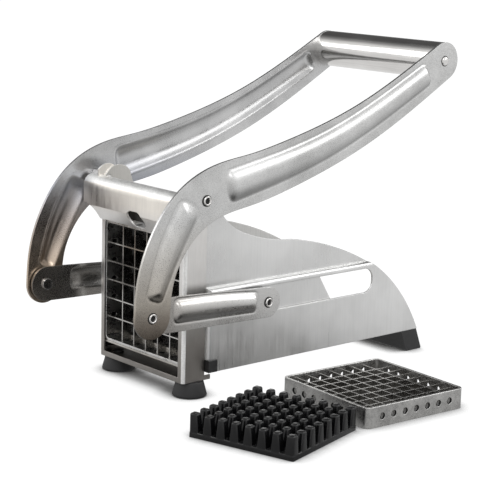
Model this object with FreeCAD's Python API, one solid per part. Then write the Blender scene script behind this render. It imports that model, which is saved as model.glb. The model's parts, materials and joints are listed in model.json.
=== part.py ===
import FreeCAD, Part
import math
import os

# Lever-operated vegetable dicer: a pressed sheet body with a portal frame, two stamped
# arms joined by a tube grip, two links that pull a pusher carriage along the body, one
# 6 x 6 blade cartridge with its peg block fitted, one 8 x 8 set lying beside it.
# Millimetres.  +Z up, the mouth faces -Y, X runs across.  The sizes below count from the
# middle plane, the front face of the posts and the bottom edge of the side walls.  On
# export the origin goes to the middle of the rear foot's underside, on the bench.

V = FreeCAD.Vector

# ---- stance and sheet gauges -------------------------------------------------------
stand = 13.5                 # wall bottom edge above the bench
sheet = 1.0                  # body, frame, tray and carriage sheet
arm_t = 1.5                  # handle arm sheet
link_t = 1.5                 # link sheet
bore_play = 0.05             # radial play of a turning pin
slide_play = 0.4             # play of the carriage in its channel

# ---- portal frame ------------------------------------------------------------------
frame_half = 39.0            # outside of the post flanges
flange_depth = 15.4          # post flange, front to back
frame_low = -4.5             # underside of the frame's bottom plate
bend_r = 2.5                 # outside radius of the folded edges
front_lip = 4.6                      # width of a post seen from the front
mouth_half = frame_half - front_lip  # half width between the front lips
lip_bottom = -1.5            # top of the bottom lip
lip_top = 79.0               # top of the side lips, behind the head

# ---- pivots (y, z) -----------------------------------------------------------------
pivot_y, pivot_z = 4.4, 99.9         # handle pivot in the ears
crank_y, crank_z = -31.2, 40.2       # lower end of the arms
pin_y, pin_z = 53.3, 36.8            # carriage pin in the slot
grip_y, grip_z = 188.8, 167.5        # grip axis
pin_r = 2.0                          # shank of the small tubular rivets
rivet_head_r = 3.2
rivet_head_t = 1.0
head_gap = 0.2                       # rivet head stands off the part that turns on it

# ---- side walls --------------------------------------------------------------------
wall_out = frame_half - sheet        # outer face of the upper panel
wall_in = wall_out - sheet
bulge = 3.8                          # lower channel stands outboard of the upper panel
low_out = wall_out + bulge
low_in = low_out - sheet
wall_front = 1.2                     # front of the ear
fold_play = 0.1                      # the wall stays behind the frame's fold by this
bulge_front = 16.0                   # front of the lower channel
ledge_z = 47.7                       # top of the lower channel
ear_r = 10.2                         # rounded top of the wall's ear
ear_z = 97.2
ear_exit = 35.0                      # where the rounded top runs into the slope, degrees
ledge_end_y = 142.5                  # hump meets the ledge
wall_top = ((32.0, 82.8), (46.0, 75.2), (62.0, 70.6), (80.0, 68.3), (113.0, 60.3))
#                                      slope and hump behind the ear, every second point a joint
rear_mid = (167.0, 28.0)             # rear edge, half way down
wall_rear = 186.0                    # rear end of the bottom edge
slot_front, slot_rear = 36.9, 144.0
slot_half = 7.4
slot_r = 6.5

# ---- head of the frame -------------------------------------------------------------
head_overhang = 8.2                  # the head's ends reach past the posts
head_half = frame_half + head_overhang
head_front = -6.0                    # front face stands ahead of the posts
head_r = 6.5                         # rolled top
head_top = 102.0
head_foot_z = 76.5                   # lower edge
head_knee_z = 85.0                   # lower edge slopes out to the front face here
head_lobe_z = 85.7                   # underside of the overhanging ends
head_lobe_r = 6.0
finger_half, finger_r = 7.2, 4.8     # oblong finger hole, half length and end radius
finger_z = 82.3
frame_ear_r = 8.5                    # round ear about the pivot

# ---- floor tray and cross bar ------------------------------------------------------
deck_z = 8.0                         # top of the deck
step_z = 5.0                         # seat of the cartridge
step_y = 12.9
deck_rear = 150.0
weld_flange_front, weld_flange_rear = 23.0, 148.0
weld_flange_z = 1.0
bar_y = 15.6                         # black cross bar under the deck
bar_w = 6.2
bar_proud = 0.8                      # its ends stand out of the walls
bar_half = low_out + bar_proud
bar_low = 0.2

# ---- feet --------------------------------------------------------------------------
foot_inset = 6.0                     # foot axis inside the post's outer face
foot_x, foot_y = frame_half - foot_inset, 9.9
foot_base_r, foot_top_r = 9.8, 7.8
foot_neck_r = 3.0                    # neck pushed through the frame's bottom plate
foot_neck_len = 2.6
rear_foot_y = 172.0                  # front of the rear foot at its top
rear_foot_t, rear_base_t = 13.6, 14.0        # thickness at the top and at the bottom
rear_lean = 5.0                      # the bottom lies this far behind the top
rear_top = (rear_foot_y, rear_foot_y + rear_foot_t)
rear_bottom = (rear_foot_y + rear_lean, rear_foot_y + rear_lean + rear_base_t)
rear_inset = 0.2
rear_half = low_out - rear_inset
rear_edge = 0.8
tail_lead, tail_short = 8.0, 1.1     # the tray's tail starts before the foot, ends before its rear
tail_front = rear_foot_y - tail_lead
tail_rear = rear_top[1] - tail_short
lug_x, lug_w = 24.0, 5.0             # square lugs of the rear foot
lug_inset = 7.5                      # their middle behind its front edge
lug_y = rear_foot_y + lug_inset
lug_stand = 1.5                      # lugs end this far above the tray

# ---- handle arms -------------------------------------------------------------------
arm_stand = 7.9                      # the arms run this far outboard of the walls
arm_in = low_out + arm_stand         # inner face of the arms
arm_out = arm_in + arm_t
arm_line = ((crank_y, crank_z), (-29.1, 59.5), (-21.4, 78.3), (-5.5, 96.0), (14.0, 104.8),
            (35.0, 108.4), (62.0, 114.3), (121.0, 133.4), (grip_y, grip_z))
arm_widths = (11.6, 11.9, 12.7, 14.0, 14.3, 14.1, 13.6, 12.4, 11.4)   # half widths
rib_rise = 3.0                       # height of the pressed ribs
rib_slope = 2.4                      # their sides lean in by this much
long_rib = ((24.0, 106.8), (95.0, 124.6), (171.0, 158.8))
long_rib_widths = (8.2, 7.1, 6.4)
short_rib = ((-10.9, 92.8), (-20.9, 75.2), (-28.9, 54.6))
short_rib_widths = (5.6, 6.0, 5.2)
short_rib_rise = 2.6
rib_bulge = 0.55                     # a rib's end, in shares of its half width
rib_blunt = 0.55

# ---- grip --------------------------------------------------------------------------
grip_r = 11.2
grip_wall = 1.1
grip_rod_r = 2.2                     # long rivet through both arms and the tube
grip_head_r, grip_head_t = 2.8, 1.4

# ---- links -------------------------------------------------------------------------
link_stand = 5.6                     # the links run between walls and arms
link_in = low_out + link_stand
link_out = link_in + link_t
link_front_r, link_rear_r = 10.0, 8.7
link_rib = ((-11.0, 41.0), (14.5, 40.1), (41.0, 38.4))
link_rib_widths = (5.7, 5.6, 5.0)
link_rib_rise = 2.4

# ---- pusher carriage ---------------------------------------------------------------
plate_y = 27.0                       # front face of the pusher plate
plate_inset = 5.0
plate_half = wall_in - plate_inset   # upper part of the plate
wing_out = low_in - slide_play       # outer face of the side wings
wing_in = wing_out - sheet
deck_play = 0.2
wing_low = deck_z + deck_play
wing_top = 46.2
wing_rear_low, wing_rear_mid, wing_rear_top = 96.0, 113.0, 99.5
wing_mid_z = 25.0
pan_rear = 66.0                      # rear of the carriage's bottom
rib_depth_low, rib_depth_top = 22.0, 7.0     # stiffening flanges behind the plate
hook_x, hook_w = 16.0, 9.0           # hooks of the peg block over the plate
hook_t, hook_drop, hook_gap = 2.2, 7.0, 0.3

# ---- slide shoes and pivot spacers -------------------------------------------------
shoe_half = slot_half - slide_play   # moulded shoe that runs in the slot
shoe_edge = 5.0                      # its cut corners clear the slot's round ends
shoe_neck = 4.2                      # half size of its neck towards the link
shoe_proud = 0.5                     # shoe stands this far out of the slot
spacer_r = 4.3                       # six-sided pivot spacer, over its corners

# ---- cartridges --------------------------------------------------------------------
grid_inset = 4.0
grid_span = 2 * (wall_in - grid_inset)
big_pitch, small_pitch = 11.0, 8.25  # width of one cell, fitted and spare
big_cells = round(grid_span / big_pitch)
small_cells = round(grid_span / small_pitch)
cart_play = 1.25                     # the fitted cartridge between the walls
cart_half = wall_in - cart_play      # outside of the rim
rim_t = 1.5
cart_depth = 11.5
cart_corner_r = 3.5
cart_front = 1.3                     # front face of the fitted cartridge
blade_t = 0.7
blade_inset = 2.6                    # blades lie this far inside the rim's faces
notch_play = 0.05
side_hole_r = 1.8                    # eight-sided holes, over their corners
fitted_y = cart_front + cart_depth   # rear face of the fitted cartridge
fitted_z = step_z + cart_half        # its middle, standing on the step

# ---- peg blocks --------------------------------------------------------------------
block_inset = 1.5
block_half = grid_span / 2 - block_inset
block_base = 3.0
peg_len = 10.0
peg_fill_base = 0.71                 # share of the pitch filled at the foot of a peg
peg_fill_tip = 0.45
plate_under = 0.25                   # the plate ends this far below the fitted block's top
block_top = fitted_z + block_half
plate_top = block_top - plate_under

# ---- loose set on the bench --------------------------------------------------------
spare_side = 26.0                    # clear space beside the arm's rib
spare_block_y, spare_block_turn = 2.2, 15.5
spare_aside, spare_behind = -8.2, 14.15      # from the block to the cartridge
spare_cart_turn = 86.3
spare_block_at = (arm_out + rib_rise + spare_side + block_half, spare_block_y)
spare_cart_at = (spare_block_at[0] + spare_aside,
                 spare_block_y + block_half + cart_half + spare_behind)

far = 400.0                          # longer than anything that is cut away


# ====================================================================================
# helpers
# ====================================================================================
def box(x0, x1, y0, y1, z0, z1):
    """Box between the given limits."""
    return Part.makeBox(x1 - x0, y1 - y0, z1 - z0, V(x0, y0, z0))


def rod(x0, x1, radius, y, z):
    """Round bar along X."""
    return Part.makeCylinder(radius, x1 - x0, V(x0, y, z), V(1, 0, 0))


def upright(z0, z1, radius, x, y):
    """Round bar along Z."""
    return Part.makeCylinder(radius, z1 - z0, V(x, y, z0))


def fuse(shapes):
    """One solid out of several that overlap or touch."""
    whole = shapes[0].multiFuse(shapes[1:]) if len(shapes) > 1 else shapes[0]
    return whole.removeSplitter()


def cut(shape, tools):
    """Shape with every tool taken away."""
    return shape.cut(tools) if tools else shape


def mirrored(shape):
    """The same piece on the other side of the middle plane."""
    return shape.mirror(V(0, 0, 0), V(1, 0, 0))


def both_sides(shape):
    """The right-hand piece and its mirror image."""
    return [shape, mirrored(shape)]


def side_points(x, pairs):
    """Points of a side view placed at the given X."""
    return [V(x, y, z) for y, z in pairs]


def side_plate(x0, x1, pairs):
    """Straight-edged plate drawn in side view."""
    pts = side_points(x0, pairs)
    face = Part.Face(Part.makePolygon(pts + pts[:1]))
    return face.extrude(V(x1 - x0, 0, 0))


def arcs_through(points):
    """Chain of arcs: each runs from one joint over the next point to the following joint."""
    return [Part.Arc(points[i], points[i + 1], points[i + 2]).toShape()
            for i in range(0, len(points) - 2, 2)]


def frustum(foot, top):
    """Flat-sided solid between two rings of four points."""
    faces = [Part.Face(Part.makePolygon(ring + ring[:1])) for ring in (foot, top)]
    for i in range(len(foot)):
        side = [foot[i - 1], foot[i], top[i], top[i - 1]]
        faces.append(Part.Face(Part.makePolygon(side + side[:1])))
    return Part.Solid(Part.Shell(faces))


def polygon(sides, radius, y, z):
    """Corners of a regular outline in side view, with a flat side on top."""
    turns = [2 * math.pi * (i + 0.5) / sides for i in range(sides)]
    return [(y + radius * math.sin(turn), z + radius * math.cos(turn)) for turn in turns]


def edges_where(shape, test):
    """Edges whose middle point passes a test."""
    found = []
    for edge in shape.Edges:
        middle = edge.valueAt((edge.FirstParameter + edge.LastParameter) / 2)
        if test(middle):
            found.append(edge)
    return found


def band_wire(x, line, widths, shrink, end_cap):
    """Outline in side view: a centre line with half widths; end_cap closes each end."""
    spine = Part.BSplineCurve()
    spine.interpolate(side_points(x, line))
    left, right, ends = [], [], []
    for place, width in zip(side_points(x, line), widths):
        along = spine.tangent(spine.parameter(place))[0]
        across = V(0, -along.z, along.y) * (width - shrink)
        left.append(place + across)
        right.append(place - across)
        ends.append((place, along * (width - shrink), across))
    start = end_cap(ends[0][0], ends[0][1] * -1, ends[0][2] * -1)
    end = end_cap(*ends[-1])
    right.reverse()
    return Part.Wire(start + arcs_through(left) + end + arcs_through(right))


def round_cap(place, along, across):
    """Half round end of a band."""
    return [Part.Arc(place + across, place + along, place - across).toShape()]


def blunt_cap(place, along, across):
    """Blunt end of a pressed rib, with its corners cut."""
    tip = place + along * rib_bulge
    corners = [place + across, tip + across * rib_blunt, tip - across * rib_blunt, place - across]
    return [Part.makeLine(corners[i], corners[i + 1]) for i in range(len(corners) - 1)]


def raised_rib(x, line, widths, rise, slope):
    """Pressed rib with leaning sides, standing out from the face at x."""
    foot = band_wire(x, line, widths, 0, blunt_cap)
    crest = band_wire(x + rise, line, widths, slope, blunt_cap)
    return Part.makeLoft([foot, crest], True, True)


def rivet(x0, x1, y, z):
    """Rivet along X with a flat head at its outer end."""
    return fuse([rod(x0, x1, pin_r, y, z), rod(x1, x1 + rivet_head_t, rivet_head_r, y, z)])


def rounded_slab(x0, x1, y0, y1, z0, z1, radius):
    """Slab across X whose side-view corners are rounded."""
    slab = box(x0, x1, y0, y1, z0, z1)
    corners = edges_where(slab, lambda p: abs(p.x - (x0 + x1) / 2) < bore_play)
    return slab.makeFillet(radius, corners)


# ====================================================================================
# body: side walls, portal frame, floor tray
# ====================================================================================
def wall_outline(x0, x1):
    """Side view of a wall: ear, slope, hump, ledge end, curved rear edge."""
    ear_y = wall_front + ear_r
    angle = math.radians(ear_exit)
    leave = V(x0, ear_y + ear_r * math.cos(angle), ear_z + ear_r * math.sin(angle))
    crown = V(x0, ear_y, ear_z + ear_r)
    ear_left = V(x0, wall_front, ear_z)
    ledge_end = V(x0, ledge_end_y, ledge_z)
    low_rear = V(x0, wall_rear, 0)
    low_front = V(x0, wall_front, 0)
    slope = arcs_through([leave] + side_points(x0, wall_top) + [ledge_end])
    wire = Part.Wire([Part.Arc(ear_left, crown, leave).toShape()] + slope + [
        Part.Arc(ledge_end, V(x0, *rear_mid), low_rear).toShape(),
        Part.makeLine(low_rear, low_front),
        Part.makeLine(low_front, ear_left),
    ])
    return Part.Face(wire).extrude(V(x1 - x0, 0, 0))


def soft_corner_block(x1, y0, z1, radius):
    """Block open to the rear and below whose three visible edges are rounded."""
    block = box(0, x1, y0, far, -far, z1)
    near = 2 * bore_play

    def visible(p):
        on_side = abs(p.x - x1) < near
        on_top = abs(p.z - z1) < near
        on_front = abs(p.y - y0) < near
        return (on_side and on_top) or (on_side and on_front)
    return block.makeFillet(radius, edges_where(block, visible))


def side_wall():
    """Right-hand wall: upper panel, ledge and outboard lower channel in one sheet."""
    hollow = soft_corner_block(low_in, bulge_front + sheet, ledge_z - sheet, bend_r - sheet)
    channel = soft_corner_block(low_out, bulge_front, ledge_z, bend_r).cut(hollow)
    channel = channel.common(wall_outline(wall_in, low_out))
    panel = wall_outline(wall_in, wall_out)
    panel = panel.cut(box(0, wall_out, bulge_front + sheet, far, -far, ledge_z - sheet))
    wall = fuse([panel, channel])
    slot = rounded_slab(low_in - sheet, low_out + sheet, slot_front, slot_rear,
                        pin_z - slot_half, pin_z + slot_half, slot_r)
    notch = box(0, far, bar_y, bar_y + bar_w, -far, deck_z - sheet)
    fold = box(0, far, -far, bend_r + fold_play, -far, lip_top + fold_play)
    pivot_hole = rod(0, far, pin_r + bore_play, pivot_y, pivot_z)
    return cut(wall, [slot, notch, fold, pivot_hole])


def shell_block(half, y0, z0, radius):
    """Upright block with the rounded folds between the frame's front and sides."""
    block = box(-half, half, y0, far, z0, far)
    near = 2 * bore_play
    folds = edges_where(block, lambda p: abs(abs(p.x) - half) < near and abs(p.y - y0) < near)
    return block.makeFillet(radius, folds)


def post_profile():
    """Side view of a post: straight flange running up into the round ear."""
    shank = side_plate(0, far, ((0, frame_low), (flange_depth, frame_low),
                                (flange_depth, head_foot_z + frame_ear_r),
                                (pivot_y + frame_ear_r, pivot_z), (head_front + sheet / 2, pivot_z),
                                (head_front + sheet / 2, head_knee_z), (0, head_foot_z)))
    ear = rod(0, far, frame_ear_r, pivot_y, pivot_z)
    roof = box(0, far, -far, pivot_y - head_r, head_top - head_r, far)
    return shank.fuse(ear).cut(roof)


def head_sheet():
    """Crossbar of the frame: sloped foot, upright face, rolled top, overhanging ends."""
    roll_y, roll_z = head_front + head_r, head_top - head_r
    low = math.sqrt(0.5)
    outer_mid = V(-head_half, roll_y - head_r * low, roll_z + head_r * low)
    inner_r = head_r - sheet
    inner_mid = V(-head_half, roll_y - inner_r * low, roll_z + inner_r * low)
    foot, foot_in = side_points(-head_half, ((0, head_foot_z), (sheet, head_foot_z + sheet / 2)))
    knee, knee_in = side_points(-head_half, ((head_front, head_knee_z),
                                             (head_front + sheet, head_knee_z + sheet / 2)))
    face, face_in = side_points(-head_half, ((head_front, roll_z), (head_front + sheet, roll_z)))
    crown, crown_in = side_points(-head_half, ((roll_y, head_top), (roll_y, head_top - sheet)))
    wire = Part.Wire([
        Part.makeLine(foot, knee), Part.makeLine(knee, face),
        Part.Arc(face, outer_mid, crown).toShape(), Part.makeLine(crown, crown_in),
        Part.Arc(crown_in, inner_mid, face_in).toShape(), Part.makeLine(face_in, knee_in),
        Part.makeLine(knee_in, foot_in), Part.makeLine(foot_in, foot),
    ])
    head = Part.Face(wire).extrude(V(2 * head_half, 0, 0))
    under = box(frame_half, far, -far, far, 0, head_lobe_z)
    inner_corner = edges_where(under, lambda p: abs(p.x - frame_half) < bore_play
                               and abs(p.z - head_lobe_z) < bore_play)
    under = under.makeFillet(head_lobe_r, inner_corner)
    reach = finger_half - finger_r
    end = Part.makeCylinder(finger_r, far, V(reach, head_front - sheet, finger_z), V(0, 1, 0))
    middle = box(-reach, reach, head_front - sheet, far, finger_z - finger_r, finger_z + finger_r)
    return cut(head, both_sides(under) + both_sides(end) + [middle])


def front_frame():
    """Portal frame: two flanged posts, bottom plate with lip, ears and head."""
    skin = shell_block(frame_half, 0, frame_low, bend_r)
    skin = skin.cut(shell_block(frame_half - sheet, sheet, frame_low + sheet, bend_r - sheet))
    window = box(-mouth_half, mouth_half, -far, sheet, lip_bottom, far)
    above = box(-far, far, -far, far, lip_top, far)
    behind = box(-far, far, flange_depth, far, frame_low + bend_r, far)
    behind_low = box(-far, far, foot_y + foot_base_r, far, -far, far)
    skin = cut(skin, [window, above, behind, behind_low])
    flange = post_profile().common(box(frame_half - sheet, frame_half, -far, far,
                                       frame_low + bend_r, far))
    flange = flange.cut(box(0, far, -far, bend_r, -far, head_foot_z))
    frame = fuse([skin, flange, mirrored(flange), head_sheet()])
    holes = both_sides(rod(0, far, pin_r + bore_play, pivot_y, pivot_z))
    holes += both_sides(upright(-far, 0, foot_neck_r + bore_play, foot_x, foot_y))
    return cut(frame, holes)


def floor_tray():
    """Deck the carriage slides on, stepped down at the front for the cartridge."""
    rise = deck_z - sheet
    profile = ((wall_front, step_z), (step_y, step_z), (step_y, deck_z), (deck_rear, deck_z),
               (tail_front, sheet), (tail_rear, sheet), (tail_rear, 0), (tail_front - sheet / 2, 0),
               (deck_rear - sheet / 2, rise), (step_y + sheet, rise),
               (step_y + sheet, step_z - sheet), (wall_front, step_z - sheet))
    tray = side_plate(-low_in, low_in, profile)
    narrow = box(wall_in, far, -far, bulge_front + sheet, -far, far)
    tray = cut(tray, both_sides(narrow))
    weld = box(low_in - sheet, low_in, weld_flange_front, weld_flange_rear, weld_flange_z, deck_z)
    tray = fuse([tray, weld, mirrored(weld)])
    return cut(tray, both_sides(lug(-far, far, bore_play)))


def cross_bar():
    """Black bar under the deck whose ends show at the foot of the walls."""
    return box(-bar_half, bar_half, bar_y, bar_y + bar_w, bar_low, deck_z - sheet)


# ====================================================================================
# feet
# ====================================================================================
def front_foot():
    """Conical rubber foot with its neck pushed through the bottom plate."""
    cone = Part.makeCone(foot_base_r, foot_top_r, frame_low + stand, V(foot_x, foot_y, -stand))
    return fuse([cone, upright(frame_low, frame_low + foot_neck_len, foot_neck_r, foot_x, foot_y)])


def lug(z0, z1, play):
    """Square lug of the rear foot, or its hole in the tray."""
    half = lug_w / 2 + play
    return box(lug_x - half, lug_x + half, lug_y - half, lug_y + half, z0, z1)


def rear_foot():
    """Black bar across the back, leaning out to the rear, with two lugs into the tray."""
    corners = ((rear_top[0], 0), (rear_top[1], 0), (rear_bottom[1], -stand),
               (rear_bottom[0], -stand))
    bar = side_plate(-rear_half, rear_half, corners)
    long_edges = edges_where(bar, lambda p: abs(p.x) < bore_play and p.z < -bore_play)
    bar = bar.makeChamfer(rear_edge, long_edges)
    return fuse([bar] + both_sides(lug(-sheet, sheet + lug_stand, 0)))


# ====================================================================================
# handle
# ====================================================================================
def handle_arm():
    """Right-hand arm: flat plate with two hollow pressed ribs."""
    outline = band_wire(arm_in, arm_line, arm_widths, 0, round_cap)
    plate = Part.Face(outline).extrude(V(arm_t, 0, 0))
    ribs = [raised_rib(arm_out, long_rib, long_rib_widths, rib_rise, rib_slope),
            raised_rib(arm_out, short_rib, short_rib_widths, short_rib_rise, rib_slope)]
    hollows = [rib.translated(V(-arm_t, 0, 0)) for rib in ribs]
    arm = cut(fuse([plate] + ribs), hollows)
    return cut(arm, [rod(0, far, pin_r + bore_play, pivot_y, pivot_z),
                     rod(0, far, pin_r, crank_y, crank_z),
                     rod(0, far, grip_rod_r, grip_y, grip_z)])


def grip_tube():
    """Polished tube clamped between the arms."""
    tube = rod(-arm_in, arm_in, grip_r, grip_y, grip_z)
    return cut(tube, [rod(-arm_in, arm_in, grip_r - grip_wall, grip_y, grip_z)])


def grip_rod():
    """Long rivet through both arms and the tube, headed at both ends."""
    shank = rod(-arm_out, arm_out, grip_rod_r, grip_y, grip_z)
    head = rod(arm_out, arm_out + grip_head_t, grip_head_r, grip_y, grip_z)
    return fuse([shank] + both_sides(head))


def crank_rivet():
    """Outer half of the rivet at the arm's lower end."""
    return rivet(arm_in, arm_out, crank_y, crank_z)


def pivot_rivet():
    """Rivet through wall, ear, spacer and arm, flush inside the wall."""
    return rivet(wall_in, arm_out + head_gap, pivot_y, pivot_z)


def pivot_spacer():
    """Six-sided spacer that keeps the arm off the ear."""
    outline = polygon(6, spacer_r, pivot_y, pivot_z)
    spacer = side_plate(frame_half, arm_in - slide_play / 2, outline)
    return cut(spacer, [rod(0, far, pin_r + bore_play / 2, pivot_y, pivot_z)])


# ====================================================================================
# links
# ====================================================================================
def link():
    """Right-hand link: tapered plate with round ends and a hollow pressed rib."""
    front = rod(link_in, link_out, link_front_r, crank_y, crank_z)
    rear = rod(link_in, link_out, link_rear_r, pin_y, pin_z)
    reach = math.hypot(pin_y - crank_y, pin_z - crank_z)
    along = ((pin_y - crank_y) / reach, (pin_z - crank_z) / reach)
    across = (-along[1], along[0])
    lean = (link_front_r - link_rear_r) / reach
    corners = []
    for (y, z), radius, side in (((crank_y, crank_z), link_front_r, 1),
                                 ((pin_y, pin_z), link_rear_r, 1),
                                 ((pin_y, pin_z), link_rear_r, -1),
                                 ((crank_y, crank_z), link_front_r, -1)):
        sideways = side * math.sqrt(1 - lean * lean)
        corners.append((y + radius * (along[0] * lean + across[0] * sideways),
                        z + radius * (along[1] * lean + across[1] * sideways)))
    web = side_plate(link_in, link_out, corners)
    rib = raised_rib(link_out, link_rib, link_rib_widths, link_rib_rise, link_rib_rise)
    plate = cut(fuse([front, rear, web, rib]), [rib.translated(V(-link_t, 0, 0))])
    holes = [rod(0, far, pin_r, crank_y, crank_z),
             rod(0, far, pin_r + bore_play, pin_y, pin_z)]
    return cut(plate, holes)


def link_rivet():
    """Inner half of the rivet at the link's front end."""
    shank = rod(link_in, arm_in - slide_play, pin_r, crank_y, crank_z)
    return fuse([shank, rod(link_in - rivet_head_t, link_in, rivet_head_r, crank_y, crank_z)])


# ====================================================================================
# carriage
# ====================================================================================
def pusher_carriage():
    """Folded carriage: bottom pan, side wings in the channel, flanged pusher plate."""
    wing = side_plate(wing_in, wing_out, ((plate_y, wing_low), (wing_rear_low, wing_low),
                                          (wing_rear_mid, wing_mid_z), (wing_rear_top, wing_top),
                                          (plate_y, wing_top)))
    pan = box(-wing_out, wing_out, plate_y, pan_rear, wing_low, wing_low + sheet)
    low_plate = box(-wing_out, wing_out, plate_y, plate_y + sheet, wing_low, wing_top)
    plate = box(-plate_half, plate_half, plate_y, plate_y + sheet, wing_low, plate_top)
    top_corners = edges_where(plate, lambda p: p.z > plate_top - bore_play
                              and abs(abs(p.x) - plate_half) < bore_play)
    plate = plate.makeFillet(bend_r, top_corners)
    stiffener = side_plate(plate_half - sheet, plate_half,
                           ((plate_y, wing_low), (plate_y + rib_depth_low, wing_low),
                            (plate_y + rib_depth_top, plate_top - bend_r),
                            (plate_y, plate_top - bend_r)))
    carriage = fuse([wing, mirrored(wing), pan, low_plate, plate, stiffener,
                     mirrored(stiffener)])
    return cut(carriage, both_sides(rod(0, far, pin_r, pin_y, pin_z)))


def carriage_pin():
    """Rivet from the wing through shoe and link, flush inside the wing."""
    return rivet(wing_in, link_out + head_gap, pin_y, pin_z)


def square_about_pin(x0, x1, half):
    """Square block on the carriage pin's axis."""
    return box(x0, x1, pin_y - half, pin_y + half, pin_z - half, pin_z + half)


def slide_shoe():
    """Black moulded shoe: square end in the slot, neck out to the link."""
    shoe = square_about_pin(wing_out, low_out + shoe_proud, shoe_half)
    middle = (wing_out + low_out + shoe_proud) / 2
    shoe = shoe.makeChamfer(shoe_edge, edges_where(shoe, lambda p: abs(p.x - middle) < bore_play))
    neck = square_about_pin(low_out + shoe_proud, link_in - slide_play / 2, shoe_neck)
    return cut(fuse([shoe, neck]), [rod(0, far, pin_r + bore_play / 2, pin_y, pin_z)])


# ====================================================================================
# cartridges, built lying flat: X and Y across the grid, Z through its depth
# ====================================================================================
def blade_places(cells):
    """Positions of the blades between the cells."""
    pitch = grid_span / cells
    return [pitch * (i + 1) - grid_span / 2 for i in range(cells - 1)]


def round_square(half, radius):
    """Square block with rounded upright edges, through the rim's depth."""
    block = box(-half, half, -half, half, 0, cart_depth)
    corners = edges_where(block, lambda p: abs(abs(p.x) - half) + abs(abs(p.y) - half) < bore_play)
    return block.makeFillet(radius, corners)


def cart_frame(cells):
    """Band-shaped rim with a hole at the end of every blade."""
    rim = round_square(cart_half, cart_corner_r)
    tools = [round_square(cart_half - rim_t, cart_corner_r - rim_t)]
    for place in blade_places(cells):
        across = side_plate(-far, far, polygon(8, side_hole_r, place, cart_depth / 2))
        along = across.copy()
        along.rotate(V(0, 0, 0), V(0, 0, 1), 90)
        tools += [across, along]
    return cut(rim, tools)


def blade_set(cells, lengthwise):
    """Blades one way, half-lapped to pass the blades the other way."""
    inner = cart_half - rim_t
    low, high = blade_inset, cart_depth - blade_inset
    middle = (low + high) / 2
    half_t = blade_t / 2
    gap = half_t + notch_play
    blades = []
    for place in blade_places(cells):
        blade = box(-inner, inner, place - half_t, place + half_t, low, high)
        notches = []
        for other in blade_places(cells):
            if lengthwise:
                notches.append(box(other - gap, other + gap, -far, far, middle - notch_play, far))
            else:
                notches.append(box(other - gap, other + gap, -far, far, -far, middle))
        blade = cut(blade, notches)
        if not lengthwise:
            blade.rotate(V(0, 0, 0), V(0, 0, 1), 90)
        blades.append(blade)
    return blades


# ====================================================================================
# peg blocks, built lying flat with the pegs up
# ====================================================================================
def peg(x, y, foot, top):
    """Tapered peg; sides on the block's border stay upright."""
    rings = []
    for half, z in ((foot, block_base), (top, block_base + peg_len)):
        low_x, high_x, low_y, high_y = x - half, x + half, y - half, y + half
        if x - foot < foot - block_half:
            low_x = -block_half
        if x + foot > block_half - foot:
            high_x = block_half
        if y - foot < foot - block_half:
            low_y = -block_half
        if y + foot > block_half - foot:
            high_y = block_half
        rings.append([V(low_x, low_y, z), V(high_x, low_y, z), V(high_x, high_y, z),
                      V(low_x, high_y, z)])
    return frustum(rings[0], rings[1])


def peg_block(cells):
    """Base plate with one tapered peg to every cell of its grid."""
    pitch = grid_span / cells
    pegs = [box(-block_half, block_half, -block_half, block_half, 0, block_base)]
    places = [(i + 0.5) * pitch - grid_span / 2 for i in range(cells)]
    for x in places:
        for y in places:
            pegs.append(peg(x, y, pitch * peg_fill_base / 2, pitch * peg_fill_tip / 2))
    return fuse(pegs)


def block_hooks():
    """Hooks that hang a peg block over the top edge of the pusher plate."""
    back = plate_y + sheet + hook_gap
    over = plate_top + hook_gap
    hooks = []
    for side in (-1, 1):
        x0, x1 = side * hook_x - hook_w / 2, side * hook_x + hook_w / 2
        hooks.append(box(x0, x1, plate_y - block_base, back + hook_t, over, over + hook_t))
        hooks.append(box(x0, x1, back, back + hook_t, over - hook_drop, over + hook_t))
        hooks.append(box(x0, x1, plate_y - block_base, plate_y, block_top - sheet, over + hook_t))
    return hooks


# ====================================================================================
# placing the removable parts
# ====================================================================================
def stand_up(shape, y, z):
    """Turn a flat-built part so that its +Z looks out of the mouth, and set it down."""
    placed = shape.copy()
    placed.rotate(V(0, 0, 0), V(1, 0, 0), 90)
    placed.translate(V(0, y, z))
    return placed


def lay_down(shape, at, turn):
    """Set a flat-built part on the bench, turned about the vertical."""
    placed = shape.copy()
    placed.rotate(V(0, 0, 0), V(0, 0, 1), turn)
    placed.translate(V(at[0], at[1], -stand))
    return placed


big_frame = stand_up(cart_frame(big_cells), fitted_y, fitted_z)
big_upright = [stand_up(b, fitted_y, fitted_z) for b in blade_set(big_cells, False)]
big_level = [stand_up(b, fitted_y, fitted_z) for b in blade_set(big_cells, True)]
big_block = fuse([stand_up(peg_block(big_cells), plate_y, fitted_z)] + block_hooks())

small_frame = lay_down(cart_frame(small_cells), spare_cart_at, spare_cart_turn)
small_long = [lay_down(b, spare_cart_at, spare_cart_turn) for b in blade_set(small_cells, True)]
small_cross = [lay_down(b, spare_cart_at, spare_cart_turn) for b in blade_set(small_cells, False)]
small_block = lay_down(peg_block(small_cells), spare_block_at, spare_block_turn)

right_wall = side_wall()
right_arm = handle_arm()
right_link = link()

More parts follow.
